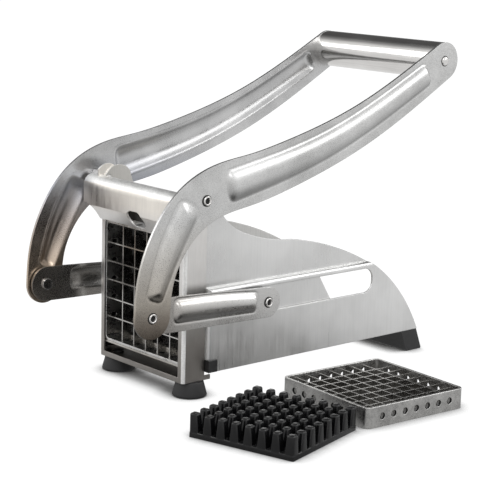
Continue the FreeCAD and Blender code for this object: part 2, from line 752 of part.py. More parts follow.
nodes = {
    "side_wall_right": [right_wall],
    "side_wall_left": [mirrored(right_wall)],
    "front_frame": [front_frame()],
    "floor_tray": [floor_tray()],
    "cross_bar": [cross_bar()],
    "front_feet": both_sides(front_foot()),
    "rear_foot": [rear_foot()],
    "pivot_rivets": both_sides(pivot_rivet()),
    "pivot_spacers": both_sides(pivot_spacer()),
    "handle_arm_right": [right_arm],
    "handle_arm_left": [mirrored(right_arm)],
    "grip_tube": [grip_tube()],
    "grip_rod": [grip_rod()],
    "crank_rivets": both_sides(crank_rivet()),
    "link_right": [right_link],
    "link_left": [mirrored(right_link)],
    "link_rivets": both_sides(link_rivet()),
    "pusher_carriage": [pusher_carriage()],
    "carriage_pins": both_sides(carriage_pin()),
    "slide_shoes": both_sides(slide_shoe()),
    "peg_block_36": [big_block],
    "cartridge_frame_36": [big_frame],
    "blades_36_upright": big_upright,
    "blades_36_level": big_level,
    "spare_peg_block_64": [small_block],
    "spare_cartridge_frame_64": [small_frame],
    "spare_blades_64_long": small_long,
    "spare_blades_64_cross": small_cross,
}

to_origin = V(0, -(rear_bottom[0] + rear_bottom[1]) / 2, stand)

os.makedirs("parts", exist_ok=True)
for name, solids in nodes.items():
    shape = solids[0] if len(solids) == 1 else Part.makeCompound(solids)
    shape = shape.copy()
    shape.translate(to_origin)
    shape.exportStep(os.path.join("parts", name + ".step"))
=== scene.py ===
import bpy
import bmesh
import json
import math
import numpy as np
from mathutils import Matrix, Vector


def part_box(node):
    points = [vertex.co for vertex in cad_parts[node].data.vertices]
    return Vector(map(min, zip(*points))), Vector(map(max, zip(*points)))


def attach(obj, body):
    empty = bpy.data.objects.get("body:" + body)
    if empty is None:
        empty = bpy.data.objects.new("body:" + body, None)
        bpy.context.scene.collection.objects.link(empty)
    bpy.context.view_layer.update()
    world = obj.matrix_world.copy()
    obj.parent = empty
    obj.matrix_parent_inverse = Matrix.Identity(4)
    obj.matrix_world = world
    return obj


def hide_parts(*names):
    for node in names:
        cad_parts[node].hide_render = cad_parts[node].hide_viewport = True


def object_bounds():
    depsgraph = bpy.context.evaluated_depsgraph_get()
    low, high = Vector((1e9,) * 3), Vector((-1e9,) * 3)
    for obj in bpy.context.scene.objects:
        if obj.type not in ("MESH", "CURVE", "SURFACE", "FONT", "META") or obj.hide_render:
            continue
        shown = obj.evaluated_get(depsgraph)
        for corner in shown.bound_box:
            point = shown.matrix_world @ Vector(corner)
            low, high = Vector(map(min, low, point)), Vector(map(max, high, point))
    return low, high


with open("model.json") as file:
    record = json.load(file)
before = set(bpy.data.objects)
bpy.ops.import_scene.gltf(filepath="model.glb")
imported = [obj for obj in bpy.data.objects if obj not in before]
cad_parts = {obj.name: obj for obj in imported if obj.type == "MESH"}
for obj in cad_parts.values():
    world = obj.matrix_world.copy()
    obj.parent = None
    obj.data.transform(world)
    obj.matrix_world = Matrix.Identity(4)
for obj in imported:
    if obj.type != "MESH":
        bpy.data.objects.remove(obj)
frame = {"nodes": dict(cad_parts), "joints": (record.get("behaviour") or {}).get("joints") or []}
cad_low, cad_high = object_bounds()
nodes = frame["nodes"]
joints = {j["name"]: j for j in frame["joints"]}
MM = 0.001
TINY = 1e-9
PLAIN = (1, 1, 1)                    # no stretch, and a colour kept whole

# ---------------------------------------------------------------- places from the frame
pivot = Vector(joints["handle_pivot"]["pos_m"])
pin = Vector(joints["link_hinge"]["pos_m"])
crank_low, crank_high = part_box("crank_rivets")
crank = (crank_low + crank_high) / 2
grip_low, grip_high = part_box("grip_tube")
grip = (grip_low + grip_high) / 2
arm_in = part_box("handle_arm_right")[0].x
link_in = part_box("link_right")[0].x
sheet = 1.5 * MM                     # gauge of the arms and links


# ---------------------------------------------------------------- node trees
class Nodes:
    """Builds the node tree of a material or of the world."""

    def __init__(self, owner):
        owner.use_nodes = True
        self.owner = owner
        self.tree = owner.node_tree
        self.place = self.add("ShaderNodeTexCoord")

    def add(self, kind, **values):
        """A new node; each value goes to the input or the setting of that name."""
        node = self.tree.nodes.new(kind)
        for key, value in values.items():
            if key in node.inputs:
                node.inputs[key].default_value = value
            else:
                setattr(node, key, value)
        return node

    def join(self, out, into):
        self.tree.links.new(out, into)

    def noise(self, scale, stretch=PLAIN, detail=3.0):
        """Noise in the object's own coordinates, stretched along some axes."""
        mapping = self.add("ShaderNodeMapping")
        mapping.inputs["Scale"].default_value = stretch
        self.join(self.place.outputs["Object"], mapping.inputs["Vector"])
        noise = self.add("ShaderNodeTexNoise", Scale=scale, Detail=detail, Roughness=0.6)
        self.join(mapping.outputs["Vector"], noise.inputs["Vector"])
        return noise.outputs["Fac"]

    def ramp(self, fac, stops):
        """Colours of a value from rows of (value, colour)."""
        ramp = self.add("ShaderNodeValToRGB")
        elements = ramp.color_ramp.elements
        while len(elements) < len(stops):
            elements.new(0.5)
        for element, (at, colour) in zip(elements, stops):
            element.position = at
            element.color = (*colour, 1)
        self.join(fac, ramp.inputs["Fac"])
        return ramp.outputs["Color"]

    def remap(self, value, start, stop, low=0.0, high=1.0, **kind):
        """Turns start to stop of a value into low to high, and holds it there beyond."""
        node = self.add("ShaderNodeMapRange", **kind)
        ends = (("From Min", start), ("From Max", stop), ("To Min", low), ("To Max", high))
        for name, end in ends:
            node.inputs[name].default_value = end
        self.join(value, node.inputs["Value"])
        return node.outputs["Result"]

    def span(self, noise, low, high):
        """Turns the usual range of a noise into the given one."""
        return self.remap(noise, 0.3, 0.7, low, high)

    def level(self, vector, axis, bottom, top):
        """One part of a vector, as a share of the way between two values."""
        split = self.add("ShaderNodeSeparateXYZ")
        self.join(vector, split.inputs[0])
        return self.remap(split.outputs[axis], bottom, top)

    def combine(self, kind, one, two):
        """Two values put together; the second may be a plain number."""
        node = self.add("ShaderNodeMath", operation=kind)
        self.join(one, node.inputs[0])
        if isinstance(two, float):
            node.inputs[1].default_value = two
        else:
            self.join(two, node.inputs[1])
        return node.outputs[0]

    def blend(self, kind, one, two):
        """Two colours put together: MULTIPLY for their product, LIGHTEN for the lighter."""
        mix = self.add("ShaderNodeMix", data_type="RGBA", blend_type=kind)
        mix.inputs[0].default_value = 1.0
        self.join(one, mix.inputs[6])
        self.join(two, mix.inputs[7])
        return mix.outputs[2]

    def mix_shaders(self, share, one, two):
        """The first shader, with the second in its place by the given share."""
        mix = self.add("ShaderNodeMixShader")
        self.join(share, mix.inputs["Fac"])
        self.join(one.outputs[0], mix.inputs[1])
        self.join(two.outputs[0], mix.inputs[2])
        return mix.outputs[0]


class Surface(Nodes):
    """Builds one material about its own shader."""

    def __init__(self, name):
        super().__init__(bpy.data.materials.new(name))
        self.shader = self.tree.nodes["Principled BSDF"]

    def relief(self, height, strength, depth, edge):
        """Fine relief, over edges that look rounded by the given radius."""
        rounded = self.add("ShaderNodeBevel", samples=4, Radius=edge)
        bump = self.add("ShaderNodeBump", Strength=strength, Distance=depth)
        self.join(height, bump.inputs["Height"])
        self.join(rounded.outputs["Normal"], bump.inputs["Normal"])
        self.join(bump.outputs["Normal"], self.shader.inputs["Normal"])


# ---------------------------------------------------------------- materials
FINEST_GRAIN, FINEST_MOULDING, BROAD_WEAR = 1400.0, 2200.0, 90.0    # specks to a metre
UPRIGHT = (0.4, 1.0, 0.03)           # stretch that draws a wall's streaks up and down
SPECKLED = (1.6, 1.6, 1.6)           # stretch that leaves specks instead of streaks
MOUTH_PAINTED_SHADE = (0.06, 0.055, 0.05)       # share of its colour that steel keeps where shade is painted in the mouth


def steel(name, dark, light, rough, stretch, grain=0.25, edge=0.35, smear=30.0, painted_light_ramps=(),
          painted_underside_shade=None, speck=0.90):
    """Brushed or polished steel: streaks along the grain, faint smears, softened edges.

    Each painted light ramp is (axis, low, high, stops): painted shade, and in places a painted
    reflection, as the share of its colour that the surface keeps between two places along an axis,
    in metres; where there are several, the lightest counts.  The painted underside shade is the
    share that faces turned down keep: shade painted on them, below the crests.  Speck is the share
    that the darkest grain keeps.  Edge is the radius of its edges in millimetres."""
    n = Surface(name)
    streaks = n.noise(FINEST_GRAIN, stretch)
    smears = n.noise(smear)
    colour = n.ramp(smears, ((0.32, dark), (0.62, light)))
    fine = n.ramp(streaks, ((0.36, (speck,) * 3), (0.58, PLAIN)))
    colour = n.blend("MULTIPLY", colour, fine)
    kept = None
    # painted shade, and in places painted reflection: the surface keeps less of its colour along
    # an axis
    for axis, low, high, stops in painted_light_ramps:
        share = n.ramp(n.level(n.place.outputs["Object"], axis, low, high), stops)
        kept = n.blend("LIGHTEN", kept, share) if kept else share
    if kept:
        colour = n.blend("MULTIPLY", colour, kept)
    # painted shade: faces turned down keep less of their colour
    if painted_underside_shade:
        facing = n.level(n.place.outputs["Normal"], "Z", bottom=-0.45, top=0.0)
        shaded = n.ramp(facing, ((0.0, (painted_underside_shade,) * 3), (1.0, PLAIN)))
        colour = n.blend("MULTIPLY", colour, shaded)
    n.join(colour, n.shader.inputs["Base Color"])
    dulled = n.combine("ADD", n.span(streaks, low=-0.07, high=0.07),
                       n.span(smears, low=rough - 0.05, high=rough + 0.06))
    n.join(dulled, n.shader.inputs["Roughness"])
    n.shader.inputs["Metallic"].default_value = 1.0
    n.relief(streaks, strength=grain, depth=0.02 * MM, edge=edge * MM)
    return n.owner


def moulded(name, colour, rough, grain, edge, coat=0.0, sheen=0.5):
    """Black rubber or plastic: fine moulding texture, slight wear in the sheen."""
    n = Surface(name)
    fine = n.noise(FINEST_MOULDING)
    broad = n.noise(BROAD_WEAR, detail=4.0)
    darker = tuple(part * 0.75 for part in colour)
    paler = tuple(part * 1.5 for part in colour)
    n.join(n.ramp(broad, ((0.35, darker), (0.65, paler))), n.shader.inputs["Base Color"])
    n.join(n.span(broad, low=rough - 0.06, high=rough + 0.08), n.shader.inputs["Roughness"])
    n.shader.inputs["Specular IOR Level"].default_value = sheen
    n.shader.inputs["Coat Weight"].default_value = coat
    n.shader.inputs["Coat Roughness"].default_value = 0.12
    n.relief(fine, strength=grain, depth=0.05 * MM, edge=edge * MM)
    return n.owner


wall_steel = steel("sheet_steel_upright_grain", (0.59, 0.59, 0.585), (0.71, 0.71, 0.705),
                   rough=0.34, stretch=UPRIGHT, grain=0.20, edge=0.8, smear=22.0, speck=0.95)
# paler steel: cut edges, and a painted highlight on bends, ledges and the rolled top
edge_and_highlight_steel = steel("sheet_steel_edges_and_highlight", (0.84, 0.84, 0.83), (0.92, 0.92, 0.91),
                  rough=0.55, stretch=(0.6, 0.6, 0.6), grain=0.10)
# painted shade: the frame darkens towards the bottom, and is slightly warm at the top
frame_steel = steel("sheet_steel_frame", (0.72, 0.705, 0.69), (0.86, 0.845, 0.825),
                    rough=0.36, stretch=(0.6, 0.6, 0.05), grain=0.20, edge=0.6, speck=0.95,
                    painted_light_ramps=[("Z", 0.030, 0.112,
                              ((0.0, (0.38, 0.365, 0.35)), (0.44, (0.81, 0.81, 0.81)),
                               (0.79, (0.86, 0.86, 0.86)), (0.90, (1, 0.97, 0.92))))])
# painted shade: darker and browner towards the bottom of the arm, and on faces turned down
arm_steel = steel("pressed_steel", (0.50, 0.50, 0.495), (0.66, 0.66, 0.655),
                  rough=0.32, stretch=SPECKLED, grain=0.40, painted_underside_shade=0.66, speck=0.76,
                  painted_light_ramps=[("Z", 0.040, 0.105,
                            ((0.0, (0.20, 0.165, 0.135)), (0.16, (0.48, 0.42, 0.36)),
                             (0.34, (0.80, 0.74, 0.66)), (1.0, PLAIN)))])
# painted shade and painted reflection: brown and warm low down, bluish higher up, faces turned
# down darker
far_arm_steel = steel("pressed_steel_far_painted_light", (0.48, 0.48, 0.48), (0.64, 0.64, 0.64),
                      rough=0.31, stretch=SPECKLED, grain=0.30, painted_underside_shade=0.80, speck=0.85,
                      painted_light_ramps=[("Z", 0.040, 0.125,
                                ((0.0, (0.74, 0.62, 0.51)), (0.25, (0.98, 0.80, 0.63)),
                                 (0.55, (0.76, 0.67, 0.61)), (0.80, (0.62, 0.64, 0.70)),
                                 (1.0, PLAIN)))])
# painted shade: the links darken towards their front ends, and on faces turned down
link_steel = steel("pressed_link_steel", (0.50, 0.495, 0.485), (0.64, 0.635, 0.625),
                   rough=0.28, stretch=SPECKLED, grain=0.30, painted_underside_shade=0.50, speck=0.85,
                   painted_light_ramps=[("Y", pin.y - 0.090, pin.y - 0.010,
                             ((0.0, (0.62, 0.58, 0.54)), (0.5, (0.88, 0.87, 0.86)),
                              (1.0, PLAIN)))])
dark_steel = steel("sheet_steel_inside", (0.42, 0.40, 0.37), (0.56, 0.54, 0.51),
                   rough=0.36, stretch=(0.05, 1.0, 1.0), grain=0.25)
# painted shade: the walls' inward faces are darkened in the mouth alone, toward the front and
# below the ears
inner_steel = steel("sheet_steel_inner_face", (0.55, 0.545, 0.53), (0.68, 0.675, 0.66),
                    rough=0.36, stretch=UPRIGHT, grain=0.20, edge=0.8, smear=22.0,
                    painted_light_ramps=[("Y", pin.y - 0.030, pin.y + 0.012,
                              ((0.0, MOUTH_PAINTED_SHADE), (1.0, (0.92, 0.92, 0.92)))),
                             ("Z", pivot.z - 0.020, pivot.z - 0.010,
                              ((0.0, MOUTH_PAINTED_SHADE), (1.0, (1.0, 0.985, 0.96))))])
bright_steel = steel("polished_steel", (0.64, 0.625, 0.61), (0.715, 0.705, 0.69),
                     rough=0.14, stretch=(0.02, 1.0, 1.0), grain=0.05)
blade_steel = steel("ground_steel", (0.38, 0.37, 0.355), (0.56, 0.55, 0.53),
                    rough=0.25, stretch=PLAIN, grain=0.15, edge=0.12)
rim_steel = steel("rim_steel", (0.46, 0.455, 0.445), (0.62, 0.615, 0.60),
                  rough=0.30, stretch=(0.5, 0.5, 0.5), grain=0.25, edge=0.35, smear=120.0)
rubber = moulded("black_rubber", (0.010, 0.010, 0.0105), rough=0.55, grain=0.35, edge=0.5)
# painted shadow: near-black for rivet hollows, the rings about rivet feet and the rim holes' bores
painted_shadow_black = moulded("rivet_painted_shadow", (0.006, 0.006, 0.006), rough=0.85, grain=0.3, edge=0.1)
matt_black = moulded("matt_black_plastic", (0.010, 0.010, 0.0105),
                     rough=0.42, grain=0.25, edge=0.4)
gloss_black = moulded("gloss_black_plastic", (0.003, 0.003, 0.0034),
                      rough=0.20, grain=0.12, edge=0.5, coat=0.22, sheen=0.30)


# ---------------------------------------------------------------- CAD surfaces
def dress(name, material):
    """Gives a shown CAD node one material all over."""
    ob = nodes[name]
    ob.data.materials.clear()
    ob.data.materials.append(material)
    ob.data.polygons.foreach_set("material_index", [0] * len(ob.data.polygons))


def dress_faces(name, material, test):
    """Gives the faces of a shown CAD node that pass a test another material."""
    ob = nodes[name]
    ob.data.materials.append(material)
    index = len(ob.data.materials) - 1
    for face in ob.data.polygons:
        if test(face):
            face.material_index = index


for name, material in (
        ("side_wall_right", wall_steel), ("side_wall_left", wall_steel),
        ("front_frame", frame_steel), ("floor_tray", dark_steel), ("cross_bar", matt_black),
        ("rear_foot", matt_black), ("pivot_spacers", bright_steel), ("grip_tube", bright_steel),
        ("link_rivets", bright_steel), ("pusher_carriage", wall_steel),
        ("slide_shoes", matt_black), ("peg_block_36", gloss_black),
        ("blades_36_upright", blade_steel), ("blades_36_level", blade_steel),
        ("spare_blades_64_long", blade_steel), ("spare_blades_64_cross", blade_steel)):
    dress(name, material)

# cut edges of the sheet are paler, and bends, ledges and the rolled top's upward faces are paler
# as painted highlight; the walls' inward faces and the plate that carries the pegs have steels of
# their own
for name, inward in (("side_wall_right", -1), ("side_wall_left", 1)):
    dress_faces(name, edge_and_highlight_steel, lambda face: abs(face.normal.x) < 0.3)
    dress_faces(name, inner_steel, lambda face: face.normal.x * inward > 0.7)
plate_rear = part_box("pusher_carriage")[0].y + 2.0 * MM
dress_faces("pusher_carriage", dark_steel, lambda face: face.center.y < plate_rear)
rolled_top = pivot.z - 6.0 * MM
dress_faces("front_frame", edge_and_highlight_steel, lambda face: face.normal.y > 0.8)
dress_faces("front_frame", edge_and_highlight_steel,
            lambda face: 0.25 < abs(face.normal.x) < 0.97 and face.normal.y < -0.25)
# painted highlight: the upward faces of the rolled top are paler
dress_faces("front_frame", edge_and_highlight_steel,
            lambda face: face.normal.z > 0.35 and face.center.z > rolled_top)


# ---------------------------------------------------------------- mesh helpers
WELD = 1e-6                          # points closer than this, in metres, become one


def make(name, bm, material, body, node, sharp):
    """Turns a bmesh into a piece that rides on a body in place of a CAD node.

    Edges sharper than the angle, in degrees, stay sharp; the rest is shaded smooth."""
    bmesh.ops.remove_doubles(bm, verts=bm.verts, dist=WELD)
    bmesh.ops.recalc_face_normals(bm, faces=bm.faces)
    mesh = bpy.data.meshes.new(name)
    bm.to_mesh(mesh)
    bm.free()
    mesh.polygons.foreach_set("use_smooth", [True] * len(mesh.polygons))
    mesh.set_sharp_from_angle(angle=math.radians(sharp))
    mesh.materials.append(material)
    ob = bpy.data.objects.new(name, mesh)
    bpy.context.scene.collection.objects.link(ob)
    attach(ob, body)
    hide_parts(node)
    return ob


def soften(ob, width, angle):
    """Rounds the edges of a piece that are sharper than an angle in degrees."""
    bevel = ob.modifiers.new("edges", "BEVEL")
    bevel.width = width
    bevel.segments = 2
    bevel.limit_method = "ANGLE"
    bevel.angle_limit = math.radians(angle)
    bevel.harden_normals = False


def cubic(rows, count):
    """Rows at even steps along a natural cubic line through the given rows."""
    rows = np.array(rows, float)
    lengths = np.linalg.norm(np.diff(rows[:, :2], axis=0), axis=1)
    along = np.concatenate(([0], np.cumsum(lengths)))
    gaps = np.diff(along)
    size = len(along)
    shares, wanted = np.zeros((size, size)), np.zeros((size, rows.shape[1]))
    shares[0, 0] = shares[-1, -1] = 1
    for i in range(1, size - 1):
        shares[i, i - 1:i + 2] = gaps[i - 1], 2 * (gaps[i - 1] + gaps[i]), gaps[i]
        wanted[i] = 6 * ((rows[i + 1] - rows[i]) / gaps[i] - (rows[i] - rows[i - 1]) / gaps[i - 1])
    bend = np.linalg.solve(shares, wanted)      # how hard the line bends at each row
    steps = np.linspace(0, along[-1], count)
    k = np.clip(np.searchsorted(along, steps, side="right") - 1, 0, size - 2)
    gap = gaps[k][:, None]
    ahead, behind = (along[k + 1] - steps)[:, None], (steps - along[k])[:, None]
    return (bend[k] * ahead ** 3 + bend[k + 1] * behind ** 3) / (6 * gap) \
        + (rows[k] / gap - bend[k] * gap / 6) * ahead \
        + (rows[k + 1] / gap - bend[k + 1] * gap / 6) * behind


def rows_at(anchor, rows):
    """Rows of (y, z, half width) in millimetres from an anchor, in metres."""
    return [(anchor.y + y * MM, anchor.z + z * MM, w * MM) for y, z, w in rows]


# ---------------------------------------------------------------- arms and links
VALLEY = 0.16 * MM                   # the sheet is drawn in about a pressed rib by this
VALLEY_OFF = 1.1                     # how far past the rib's side it is deepest, in mm
VALLEY_SPREAD = 0.32                 # how slowly it fades on both sides, in square mm
BLUNT = 3.2                          # power that squares off a rib's end
RUN_OUT = 1.4                        # half widths from its line where a rib has run out


class Rib:
    """Pressed rib: rounded across, blunt at its ends.

    Rise is its height, and crest and flank are the powers that shape it across.  End is how
    far it runs on past its last row, as a share of its half width; foot is how softly it
    meets the plate."""

    def __init__(self, rows, rise, crest, flank, end=0.62, foot=0.14):
        self.line = cubic(rows, 90)
        self.rise, self.crest, self.flank, self.end, self.foot = rise, crest, flank, end, foot

    def eased(self, inside):
        """Height before scaling, run out softly where the rib meets the plate."""
        return (inside + np.sqrt(inside ** 2 + self.foot ** 2)) / 2

    def height(self, points):
        """Height of the pressing above the plate at each (y, z) point."""
        line, width = self.line[:, :2], self.line[:, 2]
        best = np.full(len(points), np.inf)
        share = np.zeros(len(points))
        for i in range(len(line) - 1):
            start, run = line[i], line[i + 1] - line[i]
            along = ((points - start) @ run) / (run @ run)
            first, last = i == 0, i == len(line) - 2
            held = np.clip(along, 0, 1)
            off = points - start - held[:, None] * run
            reach = np.linalg.norm(off, axis=1)
            half = width[i] + (width[i + 1] - width[i]) * held
            value = reach / half
            beyond = np.zeros(len(points))
            length = math.hypot(*run)
            if first:
                beyond = np.where(along < 0, -along * length, beyond)
            if last:
                beyond = np.where(along > 1, (along - 1) * length, beyond)
            if first or last:
                side = np.abs(points[:, 0] * run[1] - points[:, 1] * run[0]
                              - start[0] * run[1] + start[1] * run[0]) / length
                blunt = ((side / half) ** BLUNT
                         + (beyond / (self.end * half)) ** BLUNT) ** (1 / BLUNT)
                value = np.where(beyond > 0, blunt, value)
            nearer = reach < best
            best = np.where(nearer, reach, best)
            share = np.where(nearer, value, share)
        inside = 1 - np.clip(share, 0, RUN_OUT) ** self.crest
        top, outer = self.eased(1.0), self.eased(1 - RUN_OUT ** self.crest)
        risen = np.clip((self.eased(inside) - outer) / (top - outer), 0, 1)
        past = (share - 1) * width.mean() / MM
        return self.rise * risen ** self.flank \
            - VALLEY * np.exp(-(past - VALLEY_OFF) ** 2 / VALLEY_SPREAD)


def stations_on(rows, steps):
    """Place, direction and half width at each step of a line whose two ends are round."""
    line = cubic(rows, steps)
    place, half = line[:, :2], line[:, 2]
    tangent = np.gradient(place, axis=0)
    tangent /= np.linalg.norm(tangent, axis=1)[:, None]
    turn = np.linspace(0, math.pi / 2, 15)[1:]
    front = [(place[0] - tangent[0] * half[0] * math.sin(a), tangent[0], half[0] * math.cos(a))
             for a in turn[::-1]]
    rear = [(place[-1] + tangent[-1] * half[-1] * math.sin(a), tangent[-1],
             half[-1] * math.cos(a)) for a in turn]
    return front + list(zip(place, tangent, half)) + rear


def pressed_band(name, side, x_in, rows, ribs, material, body, node, steps, across):
    """Plate that follows a line in side view, with hollow pressed ribs."""
    stations = stations_on(rows, steps)
    even = np.linspace(-1, 1, across)
    shares = 0.7 * even + 0.3 * np.sin(even * math.pi / 2)    # closer together at the edges
    flat = np.array([place + share * half * np.array((-tangent[1], tangent[0]))
                     for place, tangent, half in stations for share in shares])
    lift = sum(rib.height(flat) for rib in ribs)
    bm = bmesh.new()
    inner, outer = ([bm.verts.new((side * (x + up), y, z)) for (y, z), up in zip(flat, lift)]
                    for x in (x_in, x_in + sheet))
    for layer in (inner, outer):
        for i in range(len(stations) - 1):
            for j in range(i * across, (i + 1) * across - 1):
                quad = [layer[j], layer[j + across], layer[j + across + 1], layer[j + 1]]
                bm.faces.new(quad if layer is inner else quad[::-1])
    rim = [i * across for i in range(len(stations))]
    rim += [i * across - 1 for i in range(len(stations), 0, -1)]
    for a, b in zip(rim, rim[1:] + rim[:1]):
        if a // across != b // across:
            bm.faces.new([inner[a], outer[a], outer[b], inner[b]])
    bmesh.ops.dissolve_degenerate(bm, dist=WELD / 10, edges=bm.edges)
    soften(make(name, bm, material, body, node, sharp=42.0),
           width=0.35 * MM, angle=62.0)


arm_rows = rows_at(pivot, (
    (-35.6, -59.7, 11.6), (-33.5, -40.4, 11.9), (-25.8, -21.6, 12.7), (-9.9, -3.9, 14.0),
    (9.6, 4.9, 14.3), (30.6, 8.5, 14.1), (57.6, 14.4, 13.6), (116.6, 33.5, 12.4),
    (184.4, 67.6, 11.35)))
long_rib = Rib(rows_at(pivot, ((19.6, 6.9, 8.2), (54.0, 14.2, 7.7), (90.6, 24.7, 7.1),
                               (166.6, 58.9, 6.4))), rise=3.0 * MM, crest=2.3, flank=0.85)
short_rib = Rib(rows_at(pivot, ((-14.6, -7.5, 7.2), (-24.6, -25.1, 6.7),
                                (-32.9, -45.4, 5.2))),
                rise=2.6 * MM, crest=1.85, flank=1.0, end=0.95)
link_rows = rows_at(pin, ((-84.5, 3.4, 10.0), (-55.0, 2.2, 9.6), (-27.0, 1.1, 9.1), (0, 0, 8.7)))
link_rib = Rib(rows_at(pin, ((-64.3, 4.2, 5.7), (-38.8, 3.3, 5.6), (-12.3, 1.6, 5.0))),
               rise=2.4 * MM, crest=2.3, flank=0.85)
for side, word in ((1, "right"), (-1, "left")):
    finish = arm_steel if side > 0 else far_arm_steel
    pressed_band("arm_" + word, side, arm_in, arm_rows, [long_rib, short_rib], finish,
                 "handle", "handle_arm_" + word, steps=340, across=100)
    pressed_band("lever_link_" + word, side, link_in, link_rows, [link_rib], link_steel,
                 "links", "link_" + word, steps=150, across=76)

# ---------------------------------------------------------------- rivets
SHANK, HOLE, HEAD, RING = 2.0 * MM, 1.55 * MM, 2.75 * MM, 3.20 * MM    # radii
HEAD_TALL = 0.95 * MM
HEAD_SEAT = 1.0 * MM                 # from a rivet's outer end back to the sheet
FILM = 0.03 * MM                     # the ring of painted shadow about a head stands off the sheet by this
GRIP_SHANK, GRIP_HEAD = 2.2 * MM, 2.80 * MM                            # radii


def lathe(bm, profile, y, z, side=1, segments=44):
    """Adds a turned shape about an axis along X; the profile is rows of (x, radius)."""
    rings = []
    for x, radius in profile:
        if radius == 0:
            rings.append([bm.verts.new((side * x, y, z))] * segments)
            continue
        rings.append([bm.verts.new((side * x, y + radius * math.cos(a), z + radius * math.sin(a)))
                      for a in (2 * math.pi * i / segments for i in range(segments))])
    for one, two in zip(rings, rings[1:]):
        for i in range(segments):
            k = (i + 1) % segments
            corners = list(dict.fromkeys((one[i], one[k], two[k], two[i])))
            if len(corners) > 2:
                bm.faces.new(corners)


def curl(x):
    """Profile of a tubular rivet's rolled head, from its underside at x to its hollow."""
    mid, swell = (HOLE + HEAD) / 2, (HEAD - HOLE) / 2
    lip = 0.12 * MM
    rows = [(x, HEAD - 0.20 * MM)]
    for degrees in range(-20, 181, 25):
        a = math.radians(degrees)
        rows.append((x + lip + (HEAD_TALL - lip) * max(math.sin(a), 0), mid + swell * math.cos(a)))
    return rows + [(x + 0.05 * MM, HOLE - 0.05 * MM), (x, HOLE - 0.25 * MM), (x, 0)]


def paint_rivet_shadows(ob, at, seat, tubular=True):
    """Paints shadow into the hollow of each tubular rivet head and onto the ring about its foot.
    """
    ob.data.materials.append(painted_shadow_black)
    for face in ob.data.polygons:
        away = math.hypot(face.center.y - at.y, face.center.z - at.z)
        hollow = tubular and away < HOLE - 0.02 * MM and abs(face.center.x) > seat
        foot = away > HEAD - 0.3 * MM and abs(face.center.x) < seat + 1.5 * FILM
        if hollow or foot:
            face.material_index = 1


# the number in each row is how far from the middle plane its shanks start, in millimetres
for name, body, at, start, node in (("rivets_pivot", "base", pivot, 36.99, "pivot_rivets"),
                                    ("rivets_crank", "handle", crank, 49.7, "crank_rivets"),
                                    ("rivets_carriage", "carriage", pin, 39.4, "carriage_pins")):
    start *= MM
    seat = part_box(node)[1].x - HEAD_SEAT
    bm = bmesh.new()
    for side in (1, -1):
        lathe(bm, [(start, 0), (start, SHANK), (seat, SHANK), (seat, RING), (seat + FILM, RING)]
              + curl(seat + FILM), at.y, at.z, side)
    paint_rivet_shadows(make(name, bm, bright_steel, body, node, sharp=60.0),
           at, seat)

bm = bmesh.new()
seat, top = arm_in + sheet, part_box("grip_rod")[1].x
dome = [(seat + (top - seat) * math.sin(math.radians(a)),
         GRIP_HEAD * math.cos(math.radians(a)) ** 0.8) for a in range(12, 84, 12)]
half_rod = [(seat, GRIP_SHANK), (seat, RING), (seat + FILM, RING), (seat + FILM, GRIP_HEAD)]
half_rod += dome + [(top, 0)]
lathe(bm, [(-x, r) for x, r in half_rod[::-1]] + half_rod, grip.y, grip.z)
paint_rivet_shadows(make("rod_grip", bm, bright_steel, "handle", "grip_rod", sharp=60.0),
       grip, seat, tubular=False)

# ---------------------------------------------------------------- rubber feet
feet_low, feet_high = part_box("front_feet")
base_round, top_round, neck_round = 9.8 * MM, 7.8 * MM, 3.0 * MM         # radii
foot_x = feet_high.x - base_round
foot_y = (feet_low.y + feet_high.y) / 2
cone_top = feet_high.z - 2.6 * MM
ground = feet_low.z
sole = [(ground, 0), (ground, 3.2 * MM), (ground + 1.2 * MM, 3.4 * MM),
        (ground + 1.2 * MM, 5.0 * MM), (ground, 5.4 * MM), (ground, base_round - 0.9 * MM),
        (ground + 0.25 * MM, base_round - 0.3 * MM), (ground + 0.8 * MM, base_round),
        (ground + 1.6 * MM, base_round - 0.15 * MM)]
shoulder = [(cone_top - 1.0 * MM, top_round + 0.1 * MM),
            (cone_top - 0.4 * MM, top_round - 0.2 * MM),
            (cone_top, top_round - 0.9 * MM), (cone_top, neck_round)]
neck = [(feet_high.z - 0.4 * MM, neck_round), (feet_high.z, neck_round - 0.5 * MM),
        (feet_high.z, 0)]
bm = bmesh.new()
for side in (1, -1):
    start = len(bm.verts)
    lathe(bm, sole + shoulder + neck, 0, 0, segments=56)
    bm.verts.ensure_lookup_table()
    for vert in bm.verts[start:]:
        z, u, v = vert.co
        vert.co = (side * foot_x + u, foot_y + v, z)
make("feet_front", bm, rubber, "base", "front_feet", sharp=50.0)

# ---------------------------------------------------------------- cartridge rims
GRID_SPAN = 66.0 * MM                # all the cells of a grid, side by side
RIM_DEPTH = 11.5 * MM
RIM_HALF = 35.75 * MM                # half its width
RIM_GAUGE = 1.5 * MM                 # thickness of its sheet
RIM_CORNER, RIM_HOLE = 3.5 * MM, 1.8 * MM                              # radii


def to_square(turn, wide, tall):
    """Where a ray from the middle of a rectangle of these half sizes meets its border."""
    level, steep = math.cos(turn), math.sin(turn)
    across = wide / abs(level) if abs(level) > TINY else math.inf
    upward = tall / abs(steep) if abs(steep) > TINY else math.inf
    reach = min(across, upward)
    return level * reach, steep * reach


def rays_about_hole(wide, tall):
    """Rays from a hole's middle; they take in its cell's corners, so that cells meet closed."""
    to_corner = math.atan2(tall, wide)
    quarter = [to_corner * i / 4 for i in range(5)]
    quarter += [to_corner + (math.pi / 2 - to_corner) * i / 4 for i in range(1, 5)]
    return sorted({round(turn % (2 * math.pi), 9) for q in quarter
                   for turn in (q, math.pi - q, math.pi + q, -q)})


